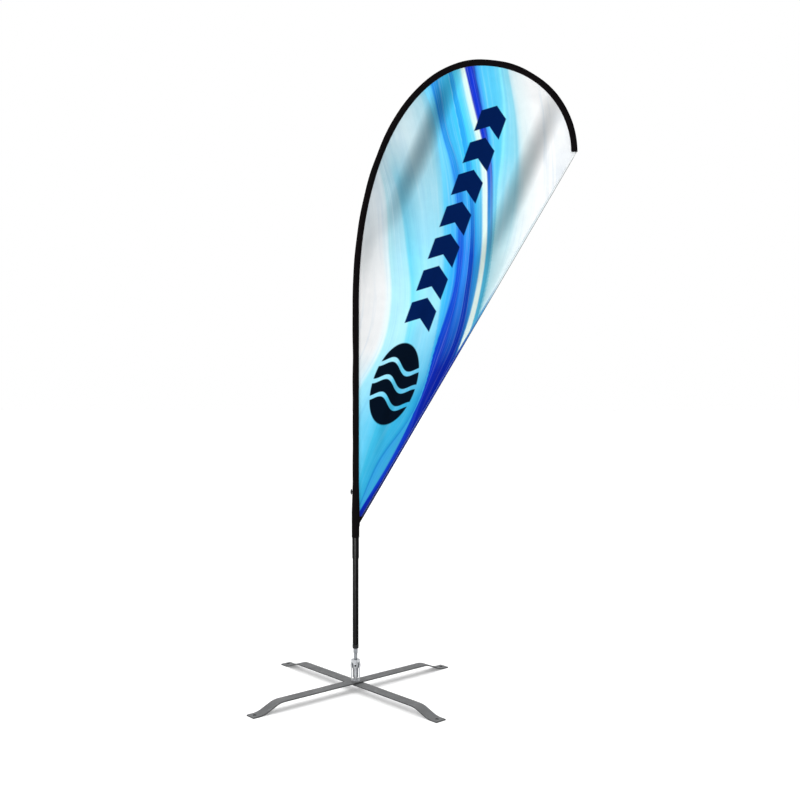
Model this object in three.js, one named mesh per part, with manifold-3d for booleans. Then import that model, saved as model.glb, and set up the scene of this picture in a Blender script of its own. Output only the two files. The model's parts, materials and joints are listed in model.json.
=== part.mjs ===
// Teardrop flag on a folding cross base: flat steel bars, a tilting bracket with a bearing spindle,
// a pole in plug-together sections, a bent rod, and a cloth flag with a sleeve along the rod.
// Millimetres, +Z up. The flag lies in the XZ plane with its cloth towards +X.
import * as THREE from "three";
import { mergeVertices } from "three/addons/utils/BufferGeometryUtils.js";
import Module from "manifold-3d";

// ---------- Driving dimensions ----------
const FIT = 0.3; // gap left between pieces that sit in or beside each other
const ROUND = 24; // sides of a turned piece
const BOW_STEPS = 40; // straight stretches round the bow of the sleeve and the cloth

// Cross base
const ARM = 415; // centre of the base to the end of a foot
const BAR_WIDTH = 40;
const BAR_THICK = 4;
const BAR_CLEARANCE = 22; // underside of the lower bar above the ground
const FOOT_LENGTH = 38;
const SLOPE_RUN = 62; // how far a bar runs outwards while it comes down to its foot
const BAR_BEND = 16; // length of bar that a bend takes up on each side of it
const BASE_TURN = -3.7; // degrees, turn of the whole cross against the flag's plane
const PEG_HOLE = 12;
const PEG_INSET = 17; // peg hole's centre from the end of the foot
const PIVOT_BOLT = 10; // diameter
const BOLT_HEAD = 5.5;
const BOLT_TAIL = 1.5; // thread left showing below the nut
const NUT_HEIGHT = 6.5;
const WASHER = 1;

// Spindle and its bearing
const SPINDLE = 12; // diameter
const NECK = 22; // spindle showing between the barrel and its collar
const COLLAR_RIM = 1.5; // collar's wall round the spindle
const COLLAR_HEIGHT = 15;
const SPINDLE_INSERT = 150; // spindle above the collar, inside the pole
const RACE = 2; // thickness of each bearing race
const BALL_GAP = 1.75; // between the races
const BEARING_WIDTH = 6;
const CIRCLIP_RIM = 2;

// Tilting bracket and its barrel
const BRACKET_DEPTH = 19;
const BRACKET_WALL = 3.5;
const BARREL_WALL = 2.2; // round the circlip's pocket
const POCKET_GAP = 1; // round the circlip
const STEM_STEP = 2.5; // how far the stem is set in from the barrel's shoulder
const STEM_DROP = 41; // tilt pin down to the end of the stem
const SWING_GAP = 2; // under the stem as it swings over the bolt's head
const TILT_PIN = 8; // diameter
const PIN_HEAD = 1.6; // thickness
const TILT_GAP = 0.5; // between the cheeks and the barrel's head
const HEAD_WALL = 2.7; // round the bearing
const HEAD_HEIGHT = 9.5;
const SET_SCREW = 7; // diameter

// Pole
const BUSH_WALL = 1.4; // of the bush that guides the pole on the spindle
const BUSH_LENGTH = 20;
const POLE_WALL = 2;
const CAP_HEIGHT = 12;
const CAP_SPIGOT = 20;
const CAP_LEDGE = 0.4; // how far the end cap stands out past the pole
const LOWER_POLE = 397.5; // length
const FERRULE_WALL = 1.2;
const FERRULE_LAP = 106; // lower section inside the ferrule
const FERRULE_GRIP = 50; // upper section inside the ferrule
const UPPER_WALL = 1.5;
const UPPER_LENGTH = 700;
const REDUCER_WALL = 0.9;
const REDUCER_LENGTH = 60;
const REDUCER_LIP = 4;
const ROD_BUTT = 12; // diameter of the rod where it leaves the upper pole
const ROD_TIP = 7;
const TIP_CAP = { wall: 1.2, length: 26, lap: 18 };

// Line of the bow, in the flag's plane
const ROD_LEAD = 53.4; // rod left straight above the upper pole
const BOW_RISE = 809; // start of the bow up to its highest point
const BOW_REACH = 421; // pole out to the highest point
const TIP_REACH = 737; // pole out to the end of the sleeve
const TIP_FALL = 301; // highest point down to the end of the sleeve
const BOW_HOLD = { start: 496, top: 230, afterTop: 201, tip: 146 }; // how long it keeps its heading

// Flag
const SLEEVE_WALL = 0.8;
const SLEEVE_SLACK = 1; // sleeve round the upper pole
const FERRULE_SLACK = 0.5; // sleeve round the ferrule
const SLEEVE_LAP = 86.5; // sleeve's lower end below the top of the ferrule
const SLEEVE_TAPER = 100; // length over which the sleeve narrows above the ferrule
const TACK_RISE = 41.7; // sleeve's lower end up to where the free edge meets the sleeve
const EDGE_INSET = 2.4; // free edge's lower end, in from the sleeve's outside
const CLOTH = 1;
const HEM = { width: 8, thick: 1.6 };
const TACK_PATCH = { rise: 16, reach: 17, thick: 2 };
const TIP_PATCH_THICK = 2;
const STUD = { shank: 5, head: 20, dome: 3.4, rim: 1, rise: 67 }; // rise is above the ferrule
const EYELET = { rim: 3.5, slack: 1.5, thick: 1 };

// ---------- Sizes that follow from them ----------
const bearingBore = SPINDLE + FIT + 0.2;
const bearingOuter = bearingBore + 2 * (2 * RACE + BALL_GAP);
const circlip = SPINDLE + 2 * CIRCLIP_RIM;
const pocketRadius = circlip / 2 + POCKET_GAP;
const shoulderRadius = pocketRadius + BARREL_WALL;
const stemRadius = shoulderRadius - STEM_STEP;
const bracketWidth = 2 * (shoulderRadius + FIT + BRACKET_WALL);
const headRadius = bearingOuter / 2 + FIT + HEAD_WALL;
const poleBore = SPINDLE + 2 * (BUSH_WALL + 2 * FIT);
const pole = poleBore + 2 * POLE_WALL;
const upperBore = ROD_BUTT + 2 * (REDUCER_WALL + 2 * FIT);
const upperDiameter = upperBore + 2 * UPPER_WALL;
const ferrule = Math.max(pole, upperDiameter) + 2 * (FIT + FERRULE_WALL);
const sleeveOnPole = upperDiameter + 2 * (SLEEVE_SLACK + SLEEVE_WALL);
const sleeveOnFerrule = ferrule + 2 * (FERRULE_SLACK + SLEEVE_WALL);
const eyeletBore = STUD.shank + 2 * EYELET.slack;

// Heights
const lowerBarTop = BAR_CLEARANCE + BAR_THICK;
const upperBarTop = lowerBarTop + WASHER + BAR_THICK;
const bracketFloor = upperBarTop + BRACKET_WALL;
const tiltHeight = bracketFloor + BOLT_HEAD + SWING_GAP + Math.hypot(STEM_DROP, stemRadius);
const headBottom = tiltHeight + BRACKET_DEPTH / 2 + TILT_GAP;
const headTop = headBottom + HEAD_HEIGHT;
const bearingTop = headTop - WASHER - FIT;
const bearingBottom = bearingTop - BEARING_WIDTH;
const pocketFloor = headBottom - 3;
const collarBottom = headTop + NECK;
const poleFoot = collarBottom + COLLAR_HEIGHT;
const lowerPoleFoot = poleFoot + CAP_HEIGHT;
const lowerPoleTop = lowerPoleFoot + LOWER_POLE;
const ferruleFoot = lowerPoleTop - FERRULE_LAP;
const ferruleStep = lowerPoleTop + FIT;
const ferruleTop = ferruleStep + FERRULE_GRIP;
const upperPoleFoot = ferruleStep + FIT;
const upperPoleTop = upperPoleFoot + UPPER_LENGTH;
const sleeveFoot = ferruleTop - SLEEVE_LAP;
const studHeight = ferruleTop + STUD.rise;

// Points of the bow, as [x, z] in the flag's plane
const point = (x, z) => new THREE.Vector2(x, z);
const bowStart = point(0, upperPoleTop + ROD_LEAD);
const bowTop = point(BOW_REACH, bowStart.y + BOW_RISE);
const bowTip = point(TIP_REACH, bowTop.y - TIP_FALL);
const tack = point(sleeveOnFerrule / 2 - EDGE_INSET, sleeveFoot + TACK_RISE);

// ---------- Materials ----------
const finish = (color, roughness, metalness) => ({ color, roughness, metalness });
const POWDER_GREY = finish(0x74767a, 0.55, 0.3);
const ZINC = finish(0xb9bcc0, 0.35, 0.9);
const STEEL = finish(0x8d9096, 0.3, 1);
const BLACK_GLOSS = finish(0x101012, 0.25, 0.1);
const BLACK_PLASTIC = finish(0x161616, 0.6, 0);
const BLACK_CLOTH = finish(0x17151a, 0.9, 0);
const NYLON = finish(0xe4e2da, 0.5, 0);
const FIBREGLASS = finish(0x2a2a2c, 0.4, 0);
const PRINTED_CLOTH = finish(0x4fb8ec, 0.8, 0);
const WHITE_CLOTH = finish(0xf2f4f6, 0.85, 0);

// ---------- Joining and cutting ----------
const wasm = await Module();
wasm.setup();

// A closed geometry as a solid that can be joined and cut.
function solidOf(geometry) {
  const bare = geometry.clone();
  bare.deleteAttribute("normal");
  bare.deleteAttribute("uv");
  const merged = mergeVertices(bare);
  return new wasm.Manifold(
    new wasm.Mesh({
      numProp: 3,
      vertProperties: merged.attributes.position.array,
      triVerts: new Uint32Array(merged.index.array),
    }),
  );
}

function geometryOf(solid) {
  const { vertProperties, triVerts } = solid.getMesh();
  const geometry = new THREE.BufferGeometry();
  geometry.setAttribute("position", new THREE.BufferAttribute(vertProperties, 3));
  geometry.setIndex(new THREE.BufferAttribute(triVerts, 1));
  return geometry;
}

function cut(geometry, ...tools) {
  const left = tools.reduce((solid, tool) => solid.subtract(solidOf(tool)), solidOf(geometry));
  return geometryOf(left);
}

function join(...geometries) {
  return geometryOf(geometries.map(solidOf).reduce((all, solid) => all.add(solid)));
}

function keepInside(geometry, outline) {
  return geometryOf(solidOf(geometry).intersect(solidOf(outline)));
}

// ---------- Shapes ----------
// A piece turned about the Z axis: its half section as [radius, z], anticlockwise.
function turned(section, sides = ROUND) {
  const points = section.map(([radius, z]) => new THREE.Vector2(radius, z));
  return new THREE.LatheGeometry(points, sides).rotateX(Math.PI / 2);
}

// A round tube or ring, or with no bore a plain disc or shaft.
function ring(outer, bore, bottom, top, sides = ROUND) {
  const [r, R] = [bore / 2, outer / 2];
  return turned(
    bore
      ? [[r, bottom], [R, bottom], [R, top], [r, top], [r, bottom]]
      : [[0, bottom], [R, bottom], [R, top], [0, top]],
    sides,
  );
}

const alongX = (geometry) => geometry.rotateY(Math.PI / 2); // +Z turns to +X
const alongFront = (geometry) => geometry.rotateX(Math.PI / 2); // +Z turns to -Y

// A flat outline in X and Z, given as [x, z] points, extruded to a thickness centred on Y = 0.
function slab(outline, thickness) {
  const shape = new THREE.Shape(outline.map(([x, z]) => new THREE.Vector2(x, z)));
  return new THREE.ExtrudeGeometry(shape, { depth: thickness, bevelEnabled: false })
    .translate(0, 0, -thickness / 2)
    .rotateX(Math.PI / 2);
}

// The outline of a strip of even thickness whose middle runs through points, its corners rounded
// over a length of bend on each side.
function stripOutline(points, thickness, bend) {
  const middle = new THREE.Path().moveTo(...points[0]);
  const corners = points.map(([x, z]) => new THREE.Vector2(x, z));
  for (let i = 1; i < corners.length - 1; i++) {
    const corner = corners[i];
    const before = corners[i - 1].clone().sub(corner).setLength(bend).add(corner);
    const after = corners[i + 1].clone().sub(corner).setLength(bend).add(corner);
    middle.lineTo(before.x, before.y).quadraticCurveTo(corner.x, corner.y, after.x, after.y);
  }
  middle.lineTo(...points.at(-1));
  const line = middle.getPoints(4);
  const side = (sign) =>
    line.map((point, i) => {
      const ahead = (line[i + 1] ?? point).clone().sub(line[i + 1] ? point : line[i - 1]).normalize();
      const behind = i ? point.clone().sub(line[i - 1]).normalize() : ahead;
      const along = ahead.clone().add(behind).normalize();
      const reach = (sign * thickness) / 2 / along.dot(ahead);
      return [point.x - along.y * reach, point.y + along.x * reach];
    });
  return [...side(-1), ...side(1).reverse()];
}

// ---------- The line that the pole and rod follow ----------
const poleLine = new THREE.CurvePath();
poleLine.add(new THREE.LineCurve(point(0, sleeveFoot), bowStart));
poleLine.add(
  new THREE.CubicBezierCurve(
    bowStart,
    point(bowStart.x, bowStart.y + BOW_HOLD.start),
    point(bowTop.x - BOW_HOLD.top, bowTop.y),
    bowTop,
  ),
);
poleLine.add(
  new THREE.CubicBezierCurve(
    bowTop,
    point(bowTop.x + BOW_HOLD.afterTop, bowTop.y),
    point(bowTip.x, bowTip.y + BOW_HOLD.tip),
    bowTip,
  ),
);
const lineLength = poleLine.getLength();
const straightLength = bowStart.y - sleeveFoot;

// Place, heading and inward side of the line at a length along it from the sleeve's foot.
function lineAt(length) {
  const share = Math.min(length / lineLength, 1);
  const at = poleLine.getPoint(share);
  const heading = share < 1 ? poleLine.getTangent(share) : point(0, -1);
  return { at, heading, inward: point(heading.y, -heading.x) };
}

// Lengths along the line: those given on its straight part, then even steps round the bow.
function stations(straight, end, steps) {
  const bow = Array.from({ length: steps + 1 }, (_, i) =>
    THREE.MathUtils.lerp(straightLength, end, i / steps),
  );
  return [...straight.map((z) => z - sleeveFoot), ...bow];
}

// A section swept along the line through the stations, its size at each given by sizeAt(length).
function swept(section, lengths, sizeAt) {
  const steps = lengths.length - 1;
  const geometry = new THREE.ExtrudeGeometry(section, {
    depth: 1,
    steps,
    bevelEnabled: false,
    curveSegments: section.curveSegments,
  });
  const position = geometry.getAttribute("position");
  const vertex = new THREE.Vector3();
  for (let i = 0; i < position.count; i++) {
    vertex.fromBufferAttribute(position, i);
    const length = lengths[Math.round(vertex.z * steps)];
    const { at, inward } = lineAt(length);
    const size = sizeAt(length);
    position.setXYZ(
      i,
      at.x + inward.x * vertex.x * size,
      vertex.y * size,
      at.y + inward.y * vertex.x * size,
    );
  }
  return geometry;
}

// A round section of unit radius, with a hole in it where bore isn't 0. Each half turn has
// halfSides sides.
function roundSection(bore, halfSides) {
  const shape = new THREE.Shape().absarc(0, 0, 1, 0, 2 * Math.PI);
  if (bore) shape.holes.push(new THREE.Path().absarc(0, 0, bore, 0, 2 * Math.PI, true));
  shape.curveSegments = halfSides;
  return shape;
}

// ---------- Cross base ----------
function crossBar(clearance) {
  const half = BAR_THICK / 2;
  const bend = ARM - FOOT_LENGTH;
  const arm = [[bend - SLOPE_RUN, clearance + half], [bend, half], [ARM, half]];
  const mirrored = arm.map(([x, z]) => [-x, z]).reverse();
  const bar = slab(stripOutline([...mirrored, ...arm], BAR_THICK, BAR_BEND), BAR_WIDTH);
  const holes = [-1, 1].map((side) =>
    ring(PEG_HOLE, 0, -1, clearance).translate(side * (ARM - PEG_INSET), 0, 0),
  );
  const pivotHole = ring(PIVOT_BOLT + 2 * FIT, 0, clearance - 1, clearance + BAR_THICK + 1);
  return cut(bar, ...holes, pivotHole);
}

const hexagon = (acrossFlats, bottom, top) =>
  ring(acrossFlats / Math.cos(Math.PI / 6), 0, bottom, top, 6);

const boltFlats = 1.6 * PIVOT_BOLT; // across the flats of its head and nut

function pivotBolt() {
  const tail = BAR_CLEARANCE - WASHER - NUT_HEIGHT - BOLT_TAIL;
  return join(
    ring(PIVOT_BOLT, 0, tail, bracketFloor + 1),
    hexagon(boltFlats, bracketFloor, bracketFloor + BOLT_HEAD),
  );
}

const washer = (outer, bottom) => ring(outer, PIVOT_BOLT + 2 * FIT, bottom, bottom + WASHER);

function pivotNut() {
  const top = BAR_CLEARANCE - WASHER;
  return cut(
    hexagon(boltFlats, top - NUT_HEIGHT, top),
    ring(PIVOT_BOLT + 2 * FIT, 0, top - NUT_HEIGHT - 1, top + 1),
  );
}

// ---------- Tilting bracket ----------
// A strip bent to a U, its two cheeks rounded over the tilt pin.
function spigotBracket() {
  const x = (bracketWidth - BRACKET_WALL) / 2;
  const floor = upperBarTop + BRACKET_WALL / 2;
  const top = tiltHeight + BRACKET_DEPTH / 2;
  const strip = slab(
    stripOutline([[-x, top], [-x, floor], [x, floor], [x, top]], BRACKET_WALL, 4),
    BRACKET_DEPTH,
  );
  const cheek = new THREE.Shape()
    .moveTo(-BRACKET_DEPTH / 2, upperBarTop - 1)
    .lineTo(BRACKET_DEPTH / 2, upperBarTop - 1)
    .lineTo(BRACKET_DEPTH / 2, tiltHeight)
    .absarc(0, tiltHeight, BRACKET_DEPTH / 2, 0, Math.PI)
    .closePath();
  const profile = new THREE.ExtrudeGeometry(cheek, { depth: bracketWidth + 2, bevelEnabled: false })
    .translate(0, 0, -bracketWidth / 2 - 1)
    .rotateX(Math.PI / 2)
    .rotateZ(Math.PI / 2);
  const pinHole = alongX(ring(TILT_PIN + 2 * FIT, 0, -bracketWidth, bracketWidth));
  const boltHole = ring(PIVOT_BOLT + 2 * FIT, 0, upperBarTop - 1, bracketFloor + 1);
  return cut(keepInside(strip, profile), pinHole.translate(0, 0, tiltHeight), boltHole);
}

const pinHeadWidth = TILT_PIN + 5;

function tiltPin() {
  const face = bracketWidth / 2;
  return alongX(
    join(
      ring(TILT_PIN, 0, -face - 1, face + PIN_HEAD),
      ring(pinHeadWidth, 0, -face - PIN_HEAD, -face, 16),
    ),
  ).translate(0, 0, tiltHeight);
}

function tiltClip() {
  const face = bracketWidth / 2;
  const clip = ring(pinHeadWidth, TILT_PIN + 2 * FIT, face, face + PIN_HEAD - FIT, 16);
  return alongX(clip).translate(0, 0, tiltHeight);
}

// A stem and shoulder that fill the bracket, and a head with a seat for the bearing and a deeper
// pocket for the clip under it.
function spigotBarrel() {
  const seat = bearingOuter / 2 + FIT;
  const stemEnd = tiltHeight - STEM_DROP;
  const neckDown = tiltHeight - TILT_PIN;
  const body = turned([
    [0, stemEnd],
    [stemRadius - 1, stemEnd],
    [stemRadius, stemEnd + 1],
    [stemRadius, neckDown - 5],
    [shoulderRadius, neckDown + 1],
    [shoulderRadius, headBottom],
    [headRadius - 1, headBottom],
    [headRadius, headBottom + 1],
    [headRadius, headTop - 1.2],
    [headRadius - 1.2, headTop],
    [seat, headTop],
    [seat, bearingBottom - FIT],
    [pocketRadius, bearingBottom - FIT],
    [pocketRadius, pocketFloor],
    [0, pocketFloor],
  ]);
  const pinHole = alongX(ring(TILT_PIN + 2 * FIT, 0, -headRadius, headRadius));
  const screwHole = alongFront(ring(SET_SCREW, 0, TILT_PIN / 2 + 2, headRadius));
  return cut(body, pinHole.translate(0, 0, tiltHeight), screwHole.translate(0, 0, tiltHeight));
}

function setScrew() {
  const end = shoulderRadius - 0.9;
  const screw = cut(
    ring(SET_SCREW - 2 * FIT, 0, TILT_PIN / 2 + 2 + FIT, end, 16),
    hexagon(3, end - 2, end + 1),
  );
  return alongFront(screw).translate(0, 0, tiltHeight);
}

// ---------- Bearing and spindle ----------
const bearingRing = (outer, bore) => ring(outer, bore, bearingBottom, bearingTop);

function ballCage() {
  const middle = (bearingBottom + bearingTop) / 2;
  const radius = (bearingOuter + bearingBore) / 4;
  const half = BALL_GAP / 2 - FIT;
  const section = Array.from({ length: 9 }, (_, i) => {
    const angle = (i * Math.PI) / 4;
    return [radius + half * Math.cos(angle), middle + half * 2 * Math.sin(angle)];
  });
  return turned(section);
}

function spindlePin() {
  const r = SPINDLE / 2;
  const top = poleFoot + SPINDLE_INSERT;
  const bottom = pocketFloor + 1;
  return turned([
    [0, bottom],
    [r, bottom],
    [r, top - 4],
    [r - 1.5, top - 1],
    [r - 4, top],
    [0, top],
  ]);
}

function spindleCollar() {
  const [r, R] = [SPINDLE / 2 + FIT, SPINDLE / 2 + COLLAR_RIM];
  return turned([
    [r, collarBottom],
    [R - 1, collarBottom],
    [R, collarBottom + 1],
    [R, poleFoot],
    [r, poleFoot],
    [r, collarBottom],
  ]);
}

// ---------- Pole ----------
function poleEndCap() {
  const [bore, spigot, R] = [SPINDLE / 2 + FIT, poleBore / 2 - FIT, pole / 2 + CAP_LEDGE];
  return turned([
    [bore, poleFoot],
    [R - 2.2, poleFoot],
    [R - 0.7, poleFoot + 0.7],
    [R, poleFoot + 2.2],
    [R, lowerPoleFoot],
    [spigot, lowerPoleFoot],
    [spigot, lowerPoleFoot + CAP_SPIGOT],
    [bore, lowerPoleFoot + CAP_SPIGOT],
    [bore, poleFoot],
  ]);
}

function poleFerrule() {
  const [R, lower, upper] = [ferrule / 2, pole / 2 + FIT, upperDiameter / 2 + FIT];
  return turned([
    [lower, ferruleFoot],
    [R - 0.5, ferruleFoot],
    [R, ferruleFoot + 1],
    [R, ferruleTop - 1],
    [R - 0.5, ferruleTop],
    [upper, ferruleTop],
    [upper, ferruleStep],
    [lower, ferruleStep],
    [lower, ferruleFoot],
  ]);
}

const studHole = (diameter) =>
  alongX(ring(diameter, 0, -sleeveOnFerrule, 0, 12)).translate(0, 0, studHeight);

function upperPole() {
  const tube = ring(upperDiameter, upperBore, upperPoleFoot, upperPoleTop);
  return cut(tube, studHole(STUD.shank + 2 * FIT));
}

// A bush in the top of the upper pole that carries the thinner rod, with a lip over the pole's end.
function rodReducer() {
  const [bore, body, lip] = [ROD_BUTT / 2 + FIT, upperBore / 2 - FIT, upperDiameter / 2];
  const foot = upperPoleTop - REDUCER_LENGTH;
  return turned([
    [bore, foot],
    [body, foot],
    [body, upperPoleTop],
    [lip, upperPoleTop],
    [lip - 1, upperPoleTop + REDUCER_LIP],
    [bore, upperPoleTop + REDUCER_LIP],
    [bore, foot],
  ]);
}

const rodEnd = lineLength - (TIP_CAP.length - TIP_CAP.lap) - 1;
const capStart = rodEnd - TIP_CAP.lap;

// The rod is straight inside its tip cap.
function flexRod() {
  const foot = upperPoleTop - REDUCER_LENGTH;
  const lengths = [...stations([foot], capStart - 1, 36), rodEnd];
  const start = lengths[0];
  const radiusAt = (length) =>
    THREE.MathUtils.mapLinear(length, start, rodEnd, ROD_BUTT / 2, ROD_TIP / 2);
  return swept(roundSection(0, 5), lengths, radiusAt);
}

function rodTipCap() {
  const r = ROD_TIP / 2 + 2 * FIT;
  const R = r + TIP_CAP.wall;
  const end = lineAt(rodEnd).at;
  const along = end.clone().sub(lineAt(capStart - 1).at).normalize();
  const foot = end.clone().addScaledVector(along, -TIP_CAP.lap);
  const depth = TIP_CAP.lap + FIT;
  return turned([
    [r, 0],
    [R, 0],
    [R, TIP_CAP.length - 3],
    [R - 2, TIP_CAP.length],
    [0, TIP_CAP.length],
    [0, depth],
    [r, depth],
    [r, 0],
  ], 16)
    .rotateY(Math.atan2(along.x, along.y))
    .translate(foot.x, 0, foot.y);
}

// ---------- Flag ----------
const sleeveRadius = (length) => {
  const over = THREE.MathUtils.clamp((length - SLEEVE_LAP) / SLEEVE_TAPER, 0, 1);
  return THREE.MathUtils.lerp(sleeveOnFerrule, sleeveOnPole, over) / 2;
};

function poleSleeve() {
  const bore = 1 - (2 * SLEEVE_WALL) / sleeveOnPole;
  const straight = [sleeveFoot, ferruleTop, ferruleTop + SLEEVE_TAPER];
  const lengths = stations(straight, lineLength, BOW_STEPS);
  return cut(swept(roundSection(bore, 10), lengths, sleeveRadius), studHole(eyeletBore));
}

const studSeat = sleeveRadius(studHeight - sleeveFoot) + FIT;

function sleeveEyelet() {
  const outer = eyeletBore + 2 * EYELET.rim;
  const eyelet = ring(outer, eyeletBore, -studSeat - EYELET.thick, -studSeat, 16);
  return alongX(eyelet).translate(0, 0, studHeight);
}

// A domed button on a shank through the sleeve and the pole's wall, which keeps the flag down.
function tensionStud() {
  const [shank, head] = [STUD.shank / 2, STUD.head / 2];
  const under = studSeat + EYELET.thick + FIT;
  const rim = under + STUD.rim;
  const dome = [0.92, 0.7, 0.38].map((share) => [
    head * share,
    rim + STUD.dome * Math.sqrt(1 - share * share),
  ]);
  const stud = turned([
    [0, 5],
    [shank, 5],
    [shank, under],
    [head - 0.5, under],
    [head, rim],
    ...dome,
    [0, rim + STUD.dome],
  ]);
  return alongX(stud.rotateX(Math.PI)).translate(0, 0, studHeight);
}

// Keeps the part of a convex outline that lies to the left of the line from a to b.
function trim(outline, a, b) {
  const side = ([x, z]) => (b.x - a.x) * (z - a.y) - (b.y - a.y) * (x - a.x);
  return outline.flatMap((from, i) => {
    const to = outline[(i + 1) % outline.length];
    const [s, t] = [side(from), side(to)];
    const share = s / (s - t);
    const crossing = [from[0] + (to[0] - from[0]) * share, from[1] + (to[1] - from[1]) * share];
    const kept = s >= 0 ? [from] : [];
    return s * t < 0 ? [...kept, crossing] : kept;
  });
}

// A line moved sideways to its left by a distance.
function shifted([a, b], distance) {
  const left = b.clone().sub(a).normalize().rotateAround(point(0, 0), Math.PI / 2);
  left.multiplyScalar(distance);
  return [a.clone().add(left), b.clone().add(left)];
}

const leech = [tack, point(bowTip.x + sleeveOnPole / 2 - 1, bowTip.y)];
const hemLine = shifted(leech, HEM.width);
const tackSide = sleeveOnFerrule / 2 + FIT;
const leechSlope = (leech[1].y - leech[0].y) / (leech[1].x - leech[0].x);
const leechAt = (x) => tack.y + (x - tack.x) * leechSlope;
const patchLine = [
  point(tackSide, leechAt(tackSide) + TACK_PATCH.rise),
  point(tackSide + TACK_PATCH.reach, leechAt(tackSide + TACK_PATCH.reach)),
];
const tipLine = [point(bowTip.x - sleeveOnPole / 2, 0), point(bowTip.x - sleeveOnPole / 2, 1)];
const turnedRound = ([a, b]) => [b, a];

// The whole cloth beside the sleeve, as far as its free edge, in anticlockwise order.
function clothOutline() {
  const straight = [tack.y - 20, ferruleTop, ferruleTop + SLEEVE_TAPER];
  const luff = stations(straight, lineLength, BOW_STEPS).map((length) => {
    const { at, inward } = lineAt(length);
    const reach = sleeveRadius(length) + FIT;
    return [at.x + inward.x * reach, at.y + inward.y * reach];
  });
  const tip = luff.at(-1);
  const corner = [[tip[0], tip[1] - 6 * sleeveOnPole]];
  return trim([...luff, ...corner].reverse(), ...leech);
}

const cloth = clothOutline();

function flagPanel() {
  const inside = trim(cloth, ...shifted(hemLine, FIT));
  const above = trim(inside, ...shifted(patchLine, FIT));
  return slab(trim(above, ...shifted(tipLine, FIT)), CLOTH);
}

function leechHem() {
  const strip = trim(cloth, ...turnedRound(hemLine));
  const above = trim(strip, ...shifted(patchLine, FIT));
  return slab(trim(above, ...shifted(tipLine, FIT)), HEM.thick);
}

function tackPatch() {
  return slab(trim(cloth, ...turnedRound(patchLine)), TACK_PATCH.thick);
}

// The corner of cloth under the end of the sleeve.
function tipPatch() {
  const [x, top] = [tipLine[0].x, bowTip.y - FIT];
  const end = leech[1].x;
  return slab([[x, leechAt(x)], [end, leechAt(end) - FIT], [end - 1, top], [x, top]], TIP_PATCH_THICK);
}

// ---------- Assembly ----------
function piece(name, geometry, look) {
  const faceted = geometry.index ? geometry.toNonIndexed() : geometry;
  faceted.computeVertexNormals();
  const mesh = new THREE.Mesh(faceted, new THREE.MeshStandardMaterial(look));
  mesh.name = name;
  return mesh;
}

const turn = THREE.MathUtils.degToRad(BASE_TURN);
const upperCrossBar = piece("upper_cross_bar", crossBar(lowerBarTop + WASHER), POWDER_GREY);
upperCrossBar.rotation.z = turn + Math.PI / 4;
const lowerCrossBar = piece("lower_cross_bar", crossBar(BAR_CLEARANCE), POWDER_GREY);
lowerCrossBar.rotation.z = turn - Math.PI / 4;

const base = new THREE.Group();
base.add(
  upperCrossBar,
  lowerCrossBar,
  piece("bar_washer", washer(3 * PIVOT_BOLT, lowerBarTop), NYLON),
  piece("pivot_bolt", pivotBolt(), ZINC),
  piece("pivot_washer", washer(2.1 * PIVOT_BOLT, BAR_CLEARANCE - WASHER), ZINC),
  piece("pivot_nut", pivotNut(), ZINC),
  piece("spigot_bracket", spigotBracket(), ZINC),
  piece("tilt_pin", tiltPin(), STEEL),
  piece("tilt_clip", tiltClip(), STEEL),
);

const spigot = new THREE.Group();
spigot.add(
  piece("spigot_barrel", spigotBarrel(), ZINC),
  piece("set_screw", setScrew(), BLACK_PLASTIC),
  piece("bearing_outer_race", bearingRing(bearingOuter, bearingOuter - 2 * RACE), STEEL),
  piece("bearing_ball_cage", ballCage(), STEEL),
  piece("bearing_cover", ring(bearingOuter, SPINDLE + 2, bearingTop + FIT, headTop), ZINC),
);

const spindle = new THREE.Group();
spindle.add(
  piece("bearing_inner_race", bearingRing(bearingBore + 2 * RACE, bearingBore), STEEL),
  piece(
    "spindle_circlip",
    ring(circlip, SPINDLE + 2 * FIT, bearingBottom - FIT - WASHER, bearingBottom - FIT, 16),
    STEEL,
  ),
  piece("spindle_pin", spindlePin(), STEEL),
  piece("spindle_collar", spindleCollar(), STEEL),
);

const lowerSection = new THREE.Group();
const bushTop = poleFoot + SPINDLE_INSERT - 5;
lowerSection.add(
  piece("pole_end_cap", poleEndCap(), BLACK_PLASTIC),
  piece(
    "spindle_guide_bush",
    ring(poleBore - 2 * FIT, SPINDLE + 2 * FIT, bushTop - BUSH_LENGTH, bushTop),
    NYLON,
  ),
  piece("lower_pole", ring(pole, poleBore, lowerPoleFoot, lowerPoleTop), BLACK_GLOSS),
);

const upperSection = new THREE.Group();
upperSection.add(
  piece("pole_ferrule", poleFerrule(), BLACK_GLOSS),
  piece("upper_pole", upperPole(), BLACK_GLOSS),
  piece("rod_reducer", rodReducer(), BLACK_PLASTIC),
  piece("flex_rod", flexRod(), FIBREGLASS),
  piece("rod_tip_cap", rodTipCap(), BLACK_PLASTIC),
  piece("pole_sleeve", poleSleeve(), BLACK_CLOTH),
  piece("sleeve_eyelet", sleeveEyelet(), ZINC),
  piece("tension_stud", tensionStud(), BLACK_PLASTIC),
  piece("flag_panel", flagPanel(), PRINTED_CLOTH),
  piece("leech_hem", leechHem(), PRINTED_CLOTH),
  piece("tack_patch", tackPatch(), BLACK_CLOTH),
  piece("tip_patch", tipPatch(), WHITE_CLOTH),
);

const flag = new THREE.Group();
flag.add(base, spigot, spindle, lowerSection, upperSection);

// The part's origin is on the ground, under the middle of its bounding box.
const middle = new THREE.Box3().setFromObject(flag, true).getCenter(new THREE.Vector3());
flag.position.set(-middle.x, -middle.y, 0);

export default flag;
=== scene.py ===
"""Looks of the teardrop flag: finishes for its metal base and pole, and its cloth made as cloth."""

import json
import math

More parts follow.
